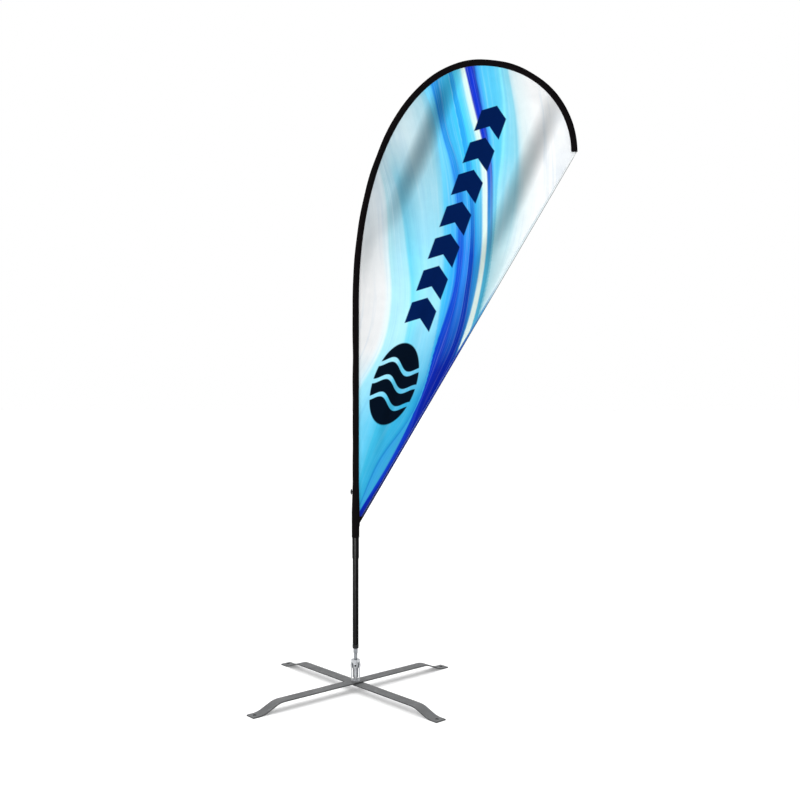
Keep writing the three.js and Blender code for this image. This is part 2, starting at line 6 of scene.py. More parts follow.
import bpy
import numpy as np
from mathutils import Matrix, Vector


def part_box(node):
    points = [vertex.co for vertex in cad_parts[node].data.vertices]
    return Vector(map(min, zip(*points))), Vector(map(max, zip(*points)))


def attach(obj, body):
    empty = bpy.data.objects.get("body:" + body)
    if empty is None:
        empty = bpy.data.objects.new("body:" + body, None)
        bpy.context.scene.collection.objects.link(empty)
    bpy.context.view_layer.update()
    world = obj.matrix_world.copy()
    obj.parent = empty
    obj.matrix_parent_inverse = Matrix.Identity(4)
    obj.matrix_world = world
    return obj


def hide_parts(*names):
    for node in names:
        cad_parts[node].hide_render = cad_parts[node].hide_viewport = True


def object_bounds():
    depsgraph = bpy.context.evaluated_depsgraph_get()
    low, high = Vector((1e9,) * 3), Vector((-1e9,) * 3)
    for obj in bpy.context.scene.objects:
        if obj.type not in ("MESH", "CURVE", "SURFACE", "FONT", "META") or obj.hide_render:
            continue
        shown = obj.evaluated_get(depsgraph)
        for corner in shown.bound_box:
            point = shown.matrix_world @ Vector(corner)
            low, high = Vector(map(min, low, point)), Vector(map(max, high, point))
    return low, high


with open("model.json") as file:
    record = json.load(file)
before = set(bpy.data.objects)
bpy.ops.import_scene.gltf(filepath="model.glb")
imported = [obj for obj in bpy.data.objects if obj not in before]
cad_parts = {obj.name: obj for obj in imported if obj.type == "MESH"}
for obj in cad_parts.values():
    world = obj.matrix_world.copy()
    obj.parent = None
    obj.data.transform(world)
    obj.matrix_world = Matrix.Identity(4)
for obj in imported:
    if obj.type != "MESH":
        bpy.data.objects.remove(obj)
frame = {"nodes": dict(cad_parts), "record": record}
CAD_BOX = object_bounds()
NODES = frame["nodes"]

# ---------- Sizes, in metres ----------
# Across is measured from the pole's axis, and up from the ground.
POLE = (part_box("upper_pole")[0].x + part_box("upper_pole")[1].x) / 2
GROUND = CAD_BOX[0].z
SLEEVE_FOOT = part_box("pole_sleeve")[0].z
FERRULE_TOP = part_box("pole_ferrule")[1].z
FERRULE_RADIUS = (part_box("pole_ferrule")[1].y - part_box("pole_ferrule")[0].y) / 2
POLE_RADIUS = (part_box("upper_pole")[1].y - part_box("upper_pole")[0].y) / 2
ROD_TOP_RADIUS = 0.0055

ROD_LEAD = 0.0534  # rod left straight above the upper pole
BOW_RISE = 0.809  # from the bend's start up to the top of the bow
BOW_REACH = 0.421  # from the pole's axis across to the top of the bow
TIP_REACH = 0.737  # from the pole's axis across to the rod's tip
TIP_FALL = 0.301  # from the top of the bow down to the rod's tip
HOLD = {"start": 0.496, "top": 0.230, "after_top": 0.201, "tip": 0.146}  # lengths of the curve's handles
CURVE_STEPS = 240  # points on each stretch of the line

SLEEVE_TAPER = 0.1  # length over which the sleeve narrows above the ferrule
SLEEVE_SLACK = 0.0012  # sleeve's outside, out from the upper pole
FERRULE_SLACK = 0.0013  # sleeve's outside, out from the ferrule
ROD_SLACK = 0.0021  # sleeve's outside, out from the thin rod
SLEEVE_CLOTH = 0.0009
SLEEVE_RIPPLE = 0.00022
SLEEVE_ROWS = 560
SLEEVE_SIDES = 40
TACK_RISE = 0.0417  # sleeve's lower end up to where the free edge meets it
EDGE_INSET = 0.0024
LUFF_START = TACK_RISE + 0.004  # where the cloth begins beside the sleeve
LUFF_LAP = 0.004  # how far the cloth runs in under the sleeve's edge
HEM = 0.008
HEM_CLOTH = 0.0021
PANEL_CLOTH = 0.0007
PANEL_ROWS = 300
PANEL_COLUMNS = 110
TAPE = 0.0062
TAPE_CLOTH = 0.0026
TACK_PATCH_REACH = 0.017
TACK_PATCH_RISE = 0.028
TACK_WEBBING = 0.0034
TIP_PATCH_CLOTH = 0.0011
TIP_PATCH_RIPPLE = 0.0003
STITCH_PITCH = 0.0042
STITCH_LENGTH = 0.0029
THREAD = 0.00045
HEM_STITCH_INSET = 0.0022  # from the hem's inner edge
CAD_EDGES = {"powder_grey": 0.0006, "zinc_plate": 0.0005, "black_plastic": 0.0005}
OTHER_EDGES = 0.0003  # rounding of the sharp edges of all other CAD pieces

# ---------- Camera, light and floor ----------
CAMERA_SIDE = 0.1495  # camera to the right of the pole's axis
CAMERA_DISTANCE = 3.15
CAMERA_HEIGHT = 0.976
LENS = 42.1
CEILING = 0.12  # brightness of the room's ceiling, when its walls are 1
WALL_TOP = 0.42  # steepness of the view, as a sine, at which the wall starts to dim
CEILING_START = 0.62
SUN_STRENGTH = 2.4
SUN_SOFTNESS = 85  # degrees
SUN_PLACE = (0.0, 4.2, 0.5)
SIDE_PLACE = (-1.9, 1.3, -1.5)
HIGHLIGHT_PLACE = (-0.9, 0.9, -2.8)
FLOOR_GLOW = 0.2
FLOOR_SIZE = 80.0


def at(across, up, out=0.0):
    """A point given in the flag's own axes, in the row frame."""
    return (POLE + across, out, GROUND + up)


def make_camera():
    """A level camera in front of the flag, a little to the right of its pole."""
    data = bpy.data.cameras.new("camera")
    data.lens = LENS
    camera = bpy.data.objects.new("camera", data)
    camera.location = at(CAMERA_SIDE, CAMERA_HEIGHT, -CAMERA_DISTANCE)
    camera.rotation_euler = (math.pi / 2, 0, 0)
    bpy.context.scene.collection.objects.link(camera)
    bpy.context.scene.camera = camera


def aim(light, place, target):
    """Puts a light at one place and turns it towards another."""
    light.location = place
    reach = np.array(target) - np.array(place)
    flat = math.hypot(reach[0], reach[1])
    light.rotation_euler = (math.atan2(flat, -reach[2]), 0, math.atan2(-reach[0], reach[1]))
    bpy.context.scene.collection.objects.link(light)


def make_sun(strength, softness, place, target):
    """The main light; softness is the angle it fills, in degrees."""
    data = bpy.data.lights.new("key", "SUN")
    data.energy = strength
    data.angle = math.radians(softness)
    aim(bpy.data.objects.new("key", data), place, target)


def make_box(name, width, height, power, place, target):
    """A soft box that the camera doesn't see."""
    data = bpy.data.lights.new(name, "AREA")
    data.shape = "RECTANGLE"
    data.size = width
    data.size_y = height
    data.energy = power
    box = bpy.data.objects.new(name, data)
    box.visible_camera = False
    aim(box, place, target)
    return box


def make_world():
    """A white room up to a little above eye height, with a dim ceiling over it."""
    world = bpy.data.worlds.new("studio")
    world.use_nodes = True
    bpy.context.scene.world = world
    tree = world.node_tree
    place = tree.nodes.new("ShaderNodeTexCoord")
    split = tree.nodes.new("ShaderNodeSeparateXYZ")
    rise = tree.nodes.new("ShaderNodeMapRange")
    rise.inputs["From Min"].default_value = WALL_TOP
    rise.inputs["From Max"].default_value = CEILING_START
    rise.inputs["To Min"].default_value = 1.0
    rise.inputs["To Max"].default_value = CEILING
    tree.links.new(place.outputs["Generated"], split.inputs[0])
    tree.links.new(split.outputs[2], rise.inputs["Value"])
    tree.links.new(rise.outputs[0], tree.nodes["Background"].inputs["Strength"])
    tree.nodes["Background"].inputs["Color"].default_value = (1.0, 1.0, 1.0, 1.0)


def make_studio():
    """A soft sun overhead, a box at the side, and a box that only the black tubes pick up."""
    bpy.context.scene.view_settings.view_transform = "Standard"
    make_world()
    middle = at(0.2, 1.0)
    make_sun(SUN_STRENGTH, SUN_SOFTNESS, at(*SUN_PLACE), middle)
    make_box("side_box", width=0.8, height=2.2, power=26, place=at(*SIDE_PLACE), target=middle)
    highlight = make_box(
        "highlight_box", width=2.2, height=2.4, power=950, place=at(*HIGHLIGHT_PLACE), target=at(0, 0.8)
    )
    highlight.visible_diffuse = False
    tubes = bpy.data.collections.new("black_tubes")
    for node in ("lower_pole", "upper_pole", "pole_ferrule"):
        tubes.objects.link(NODES[node])
    highlight.light_linking.receiver_collection = tubes


# ---------- Meshes ----------
def new_object(name, vertices, faces, material, body="flag_section"):
    """A smooth mesh with one material, which rides on a body unless that is None."""
    mesh = bpy.data.meshes.new(name)
    mesh.from_pydata([tuple(map(float, v)) for v in vertices], [], faces)
    mesh.validate()
    mesh.polygons.foreach_set("use_smooth", [True] * len(mesh.polygons))
    piece = bpy.data.objects.new(name, mesh)
    bpy.context.scene.collection.objects.link(piece)
    mesh.materials.append(material)
    if body:
        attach(piece, body)
    return piece


def grid_faces(rows, columns, closed=False):
    """Quads of a grid of rows by columns, its last column joined to the first if it is closed."""
    wrap = columns if closed else columns - 1
    return [
        (r * columns + c, r * columns + (c + 1) % columns,
         (r + 1) * columns + (c + 1) % columns, (r + 1) * columns + c)
        for r in range(rows - 1) for c in range(wrap)
    ]


def thicken(piece, thickness, offset=0.0):
    """Gives a sheet its thickness: half to each side at offset 0, all inward at offset -1."""
    solid = piece.modifiers.new("thickness", "SOLIDIFY")
    solid.thickness = thickness
    solid.offset = offset


def store(piece, name, values):
    """Keeps one number for each of the piece's points, for its material to read."""
    attribute = piece.data.attributes.new(name, "FLOAT", "POINT")
    attribute.data.foreach_set("value", np.asarray(values, dtype=np.float32))


# ---------- Line of the pole and the bow ----------
def bezier(a, b, c, d):
    """Points of the curve from a to d with handles b and c."""
    t = np.linspace(0, 1, CURVE_STEPS)[:, None]
    return (1 - t) ** 3 * a + 3 * (1 - t) ** 2 * t * b + 3 * (1 - t) * t**2 * c + t**3 * d


def bow_line():
    """Points along the pole and the bow, from the sleeve's lower end to its tip, as (across, up)."""
    start = np.array([0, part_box("upper_pole")[1].z - GROUND + ROD_LEAD])
    top = start + [BOW_REACH, BOW_RISE]
    tip = np.array([TIP_REACH, top[1] - TIP_FALL])
    foot = np.array([0, SLEEVE_FOOT - GROUND])
    straight = foot + (start - foot) * np.linspace(0, 1, CURVE_STEPS)[:, None]
    rise = bezier(start, start + [0, HOLD["start"]], top - [HOLD["top"], 0], top)
    fall = bezier(top, top + [HOLD["after_top"], 0], tip + [0, HOLD["tip"]], tip)
    return np.vstack([straight, rise[1:], fall[1:]])


LINE = bow_line()
STEP = np.hypot(*np.diff(LINE, axis=0).T)
RUN = np.concatenate([[0], np.cumsum(STEP)])  # length from the sleeve's lower end
BEND_START = RUN[CURVE_STEPS - 1]
TOTAL = RUN[-1]
NEAR = 0.002  # distance to the neighbours that give the line's direction


def line_at(length):
    """Points of the line at these lengths, and the directions towards the cloth there."""
    length = np.atleast_1d(np.asarray(length, float))
    point = np.stack([np.interp(length, RUN, LINE[:, i]) for i in (0, 1)], 1)
    ahead = np.stack([np.interp(length + NEAR, RUN, LINE[:, i]) for i in (0, 1)], 1)
    behind = np.stack([np.interp(length - NEAR, RUN, LINE[:, i]) for i in (0, 1)], 1)
    along = (ahead - behind) / np.linalg.norm(ahead - behind, axis=1)[:, None]
    return point, np.stack([along[:, 1], -along[:, 0]], 1)


def sleeve_half_width(length):
    """Half the sleeve's width in the flag's plane."""
    ferrule_end = FERRULE_TOP - SLEEVE_FOOT
    share = np.clip((np.asarray(length) - ferrule_end) / SLEEVE_TAPER, 0, 1)
    wide = FERRULE_RADIUS + FERRULE_SLACK
    return wide + (POLE_RADIUS + SLEEVE_SLACK - wide) * share


def smooth_step(value, low, high):
    """0 up to low and 1 from high, with a smooth rise between them."""
    share = np.clip((value - low) / (high - low), 0, 1)
    return share * share * (3 - 2 * share)


# ---------- Cloth ----------
# Corners of the free edge, at its foot and its head, and how far across the sleeve's end stands
TACK = np.array([sleeve_half_width(0) - EDGE_INSET, SLEEVE_FOOT - GROUND + TACK_RISE])
TIP = np.array([TIP_REACH + sleeve_half_width(TOTAL) - 0.001, LINE[-1, 1]])
TIP_LINE = TIP_REACH - sleeve_half_width(TOTAL) - 0.0006

# Folds: the line that each one follows, as (across, up), its half width, and its steepest slope.
FOLDS = [
    ([(0.338, 2.117), (0.257, 1.902), (0.102, 1.558)], 0.052, 0.52),
    ([(0.681, 1.996), (0.583, 1.770), (0.392, 1.329)], 0.054, 0.48),
    ([(0.100, 1.780), (0.040, 1.560), (0.020, 1.340)], 0.034, 0.22),
    ([(0.600, 1.600), (0.480, 1.400), (0.330, 1.120)], 0.030, 0.16),
    ([(0.300, 1.500), (0.230, 1.260), (0.150, 1.000)], 0.034, 0.14),
    ([(0.560, 2.060), (0.500, 1.900), (0.400, 1.650)], 0.028, -0.16),
    ([(0.150, 1.120), (0.110, 0.940), (0.060, 0.760)], 0.022, 0.16),
]


def billow(across, up):
    """How far the cloth stands out from the flag's plane at these places, in metres."""
    out = 0.005 * np.sin(3.1 * across + 1.4 * up)
    for (a, b, c), width, steepness in FOLDS:
        share = (a[1] - up) / (a[1] - c[1])
        bend = b[0] - (a[0] + (c[0] - a[0]) * (a[1] - b[1]) / (a[1] - c[1]))
        centre = a[0] + (c[0] - a[0]) * share + 4 * bend * share * (1 - share)
        ends = smooth_step(share, -0.3, 0.3) * (1 - smooth_step(share, 0.55, 1.35))
        side = (across - centre) / width
        out = out + steepness * width * ends * side * np.exp(-(side**2) / 2)
    return out


def fold_slope(across, up, step=0.002):
    """How steeply the cloth turns away to the right at these places."""
    return (billow(across + step, up) - billow(across - step, up)) / (2 * step)


def luff_point(length):
    """Where the cloth meets the sleeve."""
    point, inward = line_at(length)
    return point + inward * (sleeve_half_width(length) - LUFF_LAP)[:, None]


def leech_point(share, inset=0.0):
    """Points along the free edge, from the tack to the tip, moved in from it."""
    end = TACK + (TIP - TACK) * (TIP_LINE - TACK[0]) / (TIP[0] - TACK[0])
    along = (TIP - TACK) / np.linalg.norm(TIP - TACK)
    point = TACK + (end - TACK) * np.asarray(share)[:, None]
    return point + np.array([-along[1], along[0]]) * inset


def cloth_place(rows, columns, low=0.0, high=1.0):
    """A grid over the cloth beside the sleeve, as (across, up, out)."""
    share = low + (high - low) * np.linspace(0, 1, rows)
    last = TOTAL - 0.0005
    luff = luff_point(LUFF_START + (last - LUFF_START) * np.minimum(share, 1))
    leech = leech_point(share, 0.0012)
    part = np.linspace(0, 1, columns)[None, :, None]
    flat = luff[:, None, :] * (1 - part) + leech[:, None, :] * part
    across, up = flat[..., 0], flat[..., 1]
    reach = np.linalg.norm(leech - luff, axis=1)[:, None]
    # The folds flatten out towards the sleeve and the tip, and partly towards the free edge.
    near_sleeve = smooth_step(part[..., 0] * reach, 0.004, 0.10)
    near_tip = smooth_step((1 - share)[:, None] * 2.2, 0.03, 0.3)
    near_edge = 0.35 + 0.65 * smooth_step((1 - part[..., 0]) * reach, 0.0, 0.12)
    out = billow(across, up) * near_sleeve * near_tip * near_edge
    return np.stack([across, up, out], -1)


def to_row_frame(places):
    """Places given as (across, up, out), as points of the row frame."""
    flat = np.asarray(places).reshape(-1, 3)
    return np.stack([POLE + flat[:, 0], flat[:, 2], GROUND + flat[:, 1]], 1)


# ---------- Printed pattern ----------
# Lines between the colours, from left to right, each as (across, up) from its top down.
STRIPE_EDGES = [
    [(0.055, 1.854), (0.099, 1.669), (0.112, 1.467), (0.119, 1.316), (0.092, 1.165), (0.001, 0.996)],
    [(0.096, 1.821), (0.143, 1.669), (0.173, 1.467), (0.186, 1.333),
     (0.163, 1.165), (0.069, 0.912), (0.005, 0.693)],
    [(0.217, 2.050), (0.254, 1.955), (0.284, 1.770), (0.294, 1.568), (0.294, 1.417),
     (0.264, 1.165), (0.180, 0.912), (0.082, 0.778), (0.011, 0.616)],
    [(0.247, 2.063), (0.294, 1.871), (0.321, 1.770), (0.345, 1.568), (0.333, 1.366),
     (0.271, 1.165), (0.186, 0.912), (0.119, 0.778), (0.022, 0.616)],
    [(0.274, 2.083), (0.314, 1.871), (0.345, 1.770), (0.365, 1.568),
     (0.351, 1.366), (0.304, 1.165), (0.230, 0.990), (0.157, 0.808), (0.073, 0.680), (0.008, 0.600)],
    [(0.311, 2.090), (0.355, 1.871), (0.371, 1.770), (0.387, 1.568),
     (0.371, 1.366), (0.328, 1.165), (0.257, 1.013)],
    [(0.321, 2.097), (0.371, 1.871), (0.388, 1.770), (0.400, 1.568),
     (0.388, 1.366), (0.345, 1.165), (0.271, 1.013)],
    [(0.351, 2.103), (0.382, 1.955), (0.422, 1.770), (0.427, 1.602),
     (0.424, 1.484), (0.409, 1.366), (0.383, 1.255), (0.334, 1.114)],
    [(0.365, 2.103), (0.400, 1.955), (0.439, 1.770), (0.442, 1.602),
     (0.439, 1.484), (0.424, 1.366), (0.400, 1.255), (0.345, 1.107)],
    [(0.398, 2.103), (0.425, 1.955), (0.456, 1.770), (0.459, 1.602),
     (0.456, 1.484), (0.439, 1.366), (0.412, 1.255)],
    [(0.483, 2.103), (0.499, 1.955), (0.493, 1.821), (0.476, 1.686),
     (0.469, 1.568), (0.449, 1.417), (0.422, 1.282)],
    [(0.516, 2.090), (0.540, 1.955), (0.553, 1.821), (0.553, 1.669),
     (0.536, 1.552), (0.503, 1.434), (0.452, 1.316)],
]
OUTSIDE = 0.12  # width of the outermost stripes, past the first and the last line
NARROWEST = 0.0035  # narrowest a stripe may get


def through(points, up):
    """How far across a smooth line through these points is at each height."""
    points = np.array(points)[::-1]
    across, height = points[:, 0], points[:, 1]
    slope = np.gradient(across, height)
    last = len(height) - 2
    i = np.clip(np.searchsorted(height, up) - 1, 0, last)
    span = height[i + 1] - height[i]
    t = (up - height[i]) / span
    inside = np.clip(t, 0, 1)
    t2 = inside**2
    t3 = inside**3
    line = ((2 * t3 - 3 * t2 + 1) * across[i] + (t3 - 2 * t2 + inside) * span * slope[i]
            + (3 * t2 - 2 * t3) * across[i + 1] + (t3 - t2) * span * slope[i + 1])
    above = np.where(t > 1, (t - 1) * span * slope[i + 1], 0)
    return line + np.where(t < 0, t * span * slope[i], above)


def stripe_number(across, up):
    """Which stripe each place is in: 0 to 1 left of the first line, 1 to 2 right of it, and so on."""
    lines = np.stack([through(edge, up) for edge in STRIPE_EDGES])
    spacing = np.arange(len(lines))[:, None] * NARROWEST
    lines = np.maximum.accumulate(lines - spacing, axis=0) + spacing
    ends = np.vstack([lines[:1] - OUTSIDE, lines, lines[-1:] + OUTSIDE])
    number = np.zeros_like(across)
    for k in range(len(ends) - 1):
        part = (across - ends[k]) / (ends[k + 1] - ends[k])
        number = np.where((part >= 0) & (part <= 1), k + part, number)
    return np.where(across > ends[-1], len(ends) - 1, number)


# ---------- Materials ----------
class Nodes:
    """Adds and links the nodes of one material. Sockets can be fed another socket, a number or a colour."""

    def __init__(self, name, roughness, metallic=0.0):
        self.material = bpy.data.materials.new(name)
        self.material.use_nodes = True
        self.tree = self.material.node_tree
        self.shader = self.tree.nodes["Principled BSDF"]
        self.shader.inputs["Metallic"].default_value = metallic
        self.shader.inputs["Roughness"].default_value = roughness
        self.place = self.add("ShaderNodeTexCoord").outputs["Object"]

    def add(self, kind, **settings):
        node = self.tree.nodes.new(kind)
        for key, value in settings.items():
            setattr(node, key, value)
        return node

    def feed(self, socket, value):
        if isinstance(value, bpy.types.NodeSocket):
            self.tree.links.new(value, socket)
        elif hasattr(value, "__len__") and len(value) == 3 and socket.type == "RGBA":
            socket.default_value = (*value, 1.0)
        else:
            socket.default_value = value

    def math(self, operation, *values, clamp=False):
        node = self.add("ShaderNodeMath", operation=operation, use_clamp=clamp)
        for socket, value in zip(node.inputs, values):
            self.feed(socket, value)
        return node.outputs[0]

    def stretched(self, across, out, up):
        """The piece's own place, scaled by a factor along each direction."""
        node = self.add("ShaderNodeMapping")
        self.feed(node.inputs["Vector"], self.place)
        node.inputs["Scale"].default_value = (across, out, up)
        return node.outputs[0]

    def noise(self, scale, detail=3.0, roughness=0.55, place=None):
        node = self.add("ShaderNodeTexNoise")
        self.feed(node.inputs["Vector"], place or self.place)
        node.inputs["Scale"].default_value = scale
        node.inputs["Detail"].default_value = detail
        node.inputs["Roughness"].default_value = roughness
        return node.outputs["Fac"]

    def wave(self, scale, direction, distortion=0.0):
        node = self.add("ShaderNodeTexWave", wave_profile="SIN", bands_direction=direction)
        self.feed(node.inputs["Vector"], self.place)
        node.inputs["Scale"].default_value = scale
        node.inputs["Distortion"].default_value = distortion
        return node.outputs["Fac"]

    def spread(self, value, low, high, to_low=0.0, to_high=1.0):
        """A value's place between low and high, as a number between to_low and to_high."""
        node = self.add("ShaderNodeMapRange")
        for socket, number in zip(node.inputs, (value, low, high, to_low, to_high)):
            self.feed(socket, number)
        return node.outputs[0]

    def ramp(self, value, stops, interpolation="LINEAR"):
        node = self.add("ShaderNodeValToRGB")
        self.feed(node.inputs[0], value)
        elements = node.color_ramp.elements
        node.color_ramp.interpolation = interpolation
        while len(elements) < len(stops):
            elements.new(0.5)
        for element, (position, _) in zip(elements, stops):
            element.position = position
        for element, (position, color) in zip(elements, stops):
            element.position = position
            element.color = (*color, 1.0)
        return node.outputs["Color"]

    def mix(self, share, a, b, blend="MIX"):
        node = self.add("ShaderNodeMix", data_type="RGBA", blend_type=blend)
        for socket, value in zip((node.inputs[0], node.inputs[6], node.inputs[7]), (share, a, b)):
            self.feed(socket, value)
        return node.outputs[2]

    def bump(self, height, distance, strength=1.0, under=None):
        node = self.add("ShaderNodeBump")
        self.feed(node.inputs["Height"], height)
        node.inputs["Distance"].default_value = distance
        node.inputs["Strength"].default_value = strength
        if under is not None:
            self.feed(node.inputs["Normal"], under)
        return node.outputs[0]

    def finish(self, color=None, roughness=None, normal=None):
        for name, value in (("Base Color", color), ("Roughness", roughness), ("Normal", normal)):
            if value is not None:
                self.feed(self.shader.inputs[name], value)
        return self.material


def srgb(code):
    """A colour given as a web colour code, in linear light."""
    parts = [int(code[i:i + 2], 16) / 255 for i in (0, 2, 4)]
    return tuple(p / 12.92 if p < 0.04045 else ((p + 0.055) / 1.055) ** 2.4 for p in parts)


def edge_wear(n, width=0.0012):
    """1 on sharp edges, 0 on flat places, broken up by a fine noise."""
    bevel = n.add("ShaderNodeBevel", samples=4)
    bevel.inputs["Radius"].default_value = width
    normal = n.add("ShaderNodeNewGeometry").outputs["Normal"]
    dot = n.add("ShaderNodeVectorMath", operation="DOT_PRODUCT")
    n.feed(dot.inputs[0], bevel.outputs[0])
    n.feed(dot.inputs[1], normal)
    edge = n.spread(dot.outputs["Value"], 0.96, 0.75)
    return n.math("MULTIPLY", edge, n.spread(n.noise(420, 4), 0.42, 0.6))


def powder_coat():
    """Matt grey powder coat: orange peel, scuffs, worn edges, and painted shade on its upright faces."""
    n = Nodes("powder_coat", 0.5, 0.1)
    n.shader.inputs["Specular IOR Level"].default_value = 0.3
    cloud = n.spread(n.noise(14, 4), 0.3, 0.7)
    base = n.mix(cloud, srgb("555657"), srgb("646566"))
    scuff = n.spread(n.noise(60, 6, 0.7, n.stretched(1.0, 1.0, 0.2)), 0.60, 0.70)
    color = n.mix(n.math("MULTIPLY", scuff, 0.4), base, srgb("9a9da1"))
    color = n.mix(n.math("MULTIPLY", edge_wear(n), 0.5), color, srgb("a9abad"))
    speck = n.spread(n.noise(900, 2), 0.60, 0.72)
    color = n.mix(n.math("MULTIPLY", speck, 0.25), color, srgb("4c4e52"))
    facing = n.add("ShaderNodeSeparateXYZ")
    n.feed(facing.inputs[0], n.add("ShaderNodeNewGeometry").outputs["Normal"])
    # Painted shade: upright faces, which are the bars' cut edges, are darkened.
    painted_side_shade = n.spread(n.math("ABSOLUTE", facing.outputs[2]), 0.35, 0.15)
    color = n.mix(n.math("MULTIPLY", painted_side_shade, 0.7), color, srgb("2a2b2c"))
    peel = n.bump(n.noise(1100, 2), 0.0002, 0.35)
    rough = n.spread(n.noise(40, 5), 0.3, 0.7, 0.42, 0.62)
    return n.finish(color, rough, n.bump(scuff, 0.0001, 0.2, peel))


def zinc():
    """Satin zinc plate: cloudy grain with a fine brushed line."""
    n = Nodes("zinc_plate", 0.36, 0.9)
    grain = n.noise(70, 5, 0.65)
    color = n.ramp(grain, [(0.3, srgb("a2a5a9")), (0.5, srgb("babcc0")), (0.72, srgb("d0d2d4"))])
    brushed = n.noise(60, 3, 0.6, n.stretched(1.0, 1.0, 22.0))
    color = n.mix(n.math("MULTIPLY", edge_wear(n), 0.4), color, srgb("d6d7d9"))
    rough = n.spread(brushed, 0.3, 0.7, 0.28, 0.46)
    return n.finish(color, rough, n.bump(brushed, 0.00006, 0.35, n.bump(grain, 0.00008, 0.2)))


def steel():
    """Ground steel: turning marks round it, with small stains."""
    n = Nodes("bright_steel", 0.28, 1.0)
    turned = n.noise(30, 2, 0.5, n.stretched(1.0, 1.0, 60.0))
    stain = n.spread(n.noise(90, 4), 0.5, 0.75)
    color = n.mix(stain, srgb("8a8d91"), srgb("66696d"))
    rough = n.spread(turned, 0.3, 0.7, 0.2, 0.38)
    return n.finish(color, rough, n.bump(turned, 0.00005, 0.4))


def black_tube():
    """Glossy black anodised tube: drawing lines along it, and faint rubbed scratches."""
    n = Nodes("black_tube", 0.2)
    drawn = n.noise(160, 3, 0.6, n.stretched(1.0, 1.0, 0.02))
    scratch = n.spread(n.noise(120, 5, 0.7, n.stretched(1.0, 1.0, 0.25)), 0.64, 0.70)
    color = n.mix(drawn, srgb("040405"), srgb("0b0b0c"))
    color = n.mix(n.math("MULTIPLY", scratch, 0.3), color, srgb("57585c"))
    rough = n.spread(drawn, 0.3, 0.7, 0.24, 0.36)
    n.shader.inputs["IOR"].default_value = 1.12
    return n.finish(color, rough, n.bump(drawn, 0.00004, 0.4))


def moulded(name, dark, light, roughness):
    """Moulded plastic with a spark-eroded grain and pale rubbed edges."""
    n = Nodes(name, roughness)
    n.shader.inputs["Specular IOR Level"].default_value = 0.2
    grain = n.noise(1500, 2)
    color = n.mix(n.spread(n.noise(50, 4), 0.3, 0.7), dark, light)
    color = n.mix(n.math("MULTIPLY", edge_wear(n, 0.0008), 0.25), color, srgb("8a8b8e"))
    rough = n.spread(n.noise(35, 3), 0.3, 0.7, roughness - 0.08, roughness + 0.08)
    return n.finish(color, rough, n.bump(grain, 0.00012, 0.45))


def fibreglass():
    """Dark pultruded rod with fibres along it under clear resin."""
    n = Nodes("fibreglass", 0.3)
    fibre = n.noise(500, 3, 0.6, n.stretched(1.0, 1.0, 0.03))
    color = n.mix(fibre, srgb("161618"), srgb("3a3a3d"))
    n.shader.inputs["Coat Weight"].default_value = 0.5
    return n.finish(color, n.spread(fibre, 0.3, 0.7, 0.25, 0.4), n.bump(fibre, 0.0001, 0.4))


def weave(n, scale):
    """Height of a plain weave in the flag's plane."""
    across = n.wave(scale, "X")
    up = n.wave(scale, "Z")
    return n.math("MAXIMUM", n.math("MULTIPLY", across, 0.85), up)


def sleeve_cloth():
    """Matt black woven sleeve with a few paler threads and a fine lint."""
    n = Nodes("sleeve_cloth", 0.9)
    cloth = weave(n, SLEEVE_WEAVE)
    uneven = n.noise(90, 5, 0.6, n.stretched(1.0, 1.0, 0.35))
    color = n.mix(uneven, srgb("070506"), srgb("141112"))
    lint = n.spread(n.noise(700, 3, 0.7), 0.66, 0.74)
    color = n.mix(n.math("MULTIPLY", lint, 0.15), color, srgb("4b4a4e"))
    n.shader.inputs["Specular IOR Level"].default_value = 0.02
    pucker = n.bump(n.noise(45, 3, 0.5, n.stretched(1.0, 1.0, 0.4)), 0.0015, 0.5)
    rough = n.spread(uneven, 0.3, 0.7, 0.8, 0.95)
    return n.finish(color, rough, n.bump(cloth, 0.0002, 0.5, pucker))


# Colours of the stripes as (stripe number, web colour code), high up, halfway and near the lower corner;
# the grey in the white left of the first line, high up and halfway, is painted shade
HIGH = [
    (0.0, "dcdfe1"), (0.9, "d2d9dd"), (1.08, "b4cbd3"), (1.9, "a8c6d0"), (2.1, "8fc0cd"), (2.55, "aad2de"),
    (2.9, "8cc8da"), (3.15, "72d2f5"), (3.85, "63caf7"), (4.1, "2b95ea"), (4.9, "2d9ade"),
    (5.15, "41b8ee"), (5.9, "47c8f5"), (6.1, "2ea6ee"), (6.9, "2faaef"), (7.15, "49d0f8"),
    (7.8, "72daf6"), (8.15, "d2f2ee"), (8.85, "e6f7f0"), (9.1, "0f2fbd"), (9.6, "1238d4"),
    (9.95, "1b3fb0"), (10.08, "3c9af4"), (10.25, "52c8f8"), (10.9, "60d0f4"), (11.04, "90ecfa"),
    (11.2, "7cd6f1"), (11.8, "8ed6e9"), (12.1, "dcedf0"), (12.5, "f5f7f8"), (13.0, "f6f7f7"),
]
MIDDLE = [
    (0.0, "dfdfdf"), (0.8, "e2e4e5"), (0.97, "dceff3"), (1.05, "a9e2ec"), (1.5, "aee5f5"), (1.95, "a9e8f8"),
    (2.04, "6ed8f4"), (2.2, "84dff8"), (2.5, "9de6fd"), (2.95, "93def4"), (3.12, "4cc2ee"),
    (3.8, "2fa6f4"), (4.08, "0f50d4"), (4.8, "1757d2"), (5.15, "2b86ea"), (5.9, "2c84e4"),
    (6.1, "0a3eb6"), (6.85, "0c46b0"), (7.15, "2487da"), (7.85, "3b9bd4"), (8.12, "dcefe9"),
    (8.85, "e2f2ea"), (9.12, "4fb4d8"), (9.9, "48a4c4"), (10.15, "74c2da"), (10.9, "8ccbdb"),
    (11.1, "b4dfe9"), (11.9, "d2ebf0"), (12.3, "f3f7f8"), (13.0, "f8f9f9"),
]
